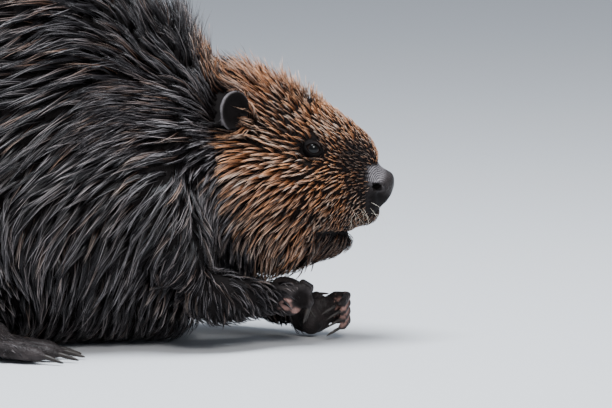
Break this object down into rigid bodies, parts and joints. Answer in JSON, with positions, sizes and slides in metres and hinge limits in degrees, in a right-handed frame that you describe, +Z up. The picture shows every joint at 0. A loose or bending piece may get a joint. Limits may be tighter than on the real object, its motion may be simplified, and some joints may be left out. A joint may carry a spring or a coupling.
{
  "type": "beaver",
  "caption": "Life-size still model of an adult beaver, hunched on its haunches with both forepaws curled in front of its chin and a broad flat scaly tail laid out behind.",
  "frame": {"origin": "on the floor, at the middle of the whole animal's box", "axes": "+X towards the nose along the body, +Y to the animal's left, +Z up"},
  "size_m": [0.8686, 0.316, 0.3365],
  "materials": {
    "body_coat": "wet dark brown guard hair in clumps",
    "head_coat": "damp orange-brown guard hair with dark roots",
    "bare_skin": "dark leathery skin",
    "tail_scale": "dark leathery scales",
    "eye": "wet gloss",
    "claw": "worn horn"
  },
  "bodies": {
    "root": {"nose": "bare_skin", "head": "head_coat", "lower_jaw": "head_coat", "neck": "head_coat", "trunk": "body_coat", "tail_root": "body_coat", "tail_paddle": "tail_scale", "eye_right": "eye", "ear_right": "bare_skin", "upper_arm_right": "body_coat", "forearm_right": "body_coat", "hand_right": "bare_skin", "claw_hand_right_1": "claw", "claw_hand_right_2": "claw", "claw_hand_right_3": "claw", "claw_hand_right_4": "claw", "claw_hand_right_5": "claw", "thigh_right": "body_coat", "hind_foot_right": "bare_skin", "claw_foot_right_1": "claw", "claw_foot_right_2": "claw", "claw_foot_right_3": "claw", "claw_foot_right_4": "claw", "claw_foot_right_5": "claw", "eye_left": "eye", "ear_left": "bare_skin", "upper_arm_left": "body_coat", "forearm_left": "body_coat", "hand_left": "bare_skin", "claw_hand_left_1": "claw", "claw_hand_left_2": "claw", "claw_hand_left_3": "claw", "claw_hand_left_4": "claw", "claw_hand_left_5": "claw", "thigh_left": "body_coat", "hind_foot_left": "bare_skin", "claw_foot_left_1": "claw", "claw_foot_left_2": "claw", "claw_foot_left_3": "claw", "claw_foot_left_4": "claw", "claw_foot_left_5": "claw"}
  },
  "joints": []
}
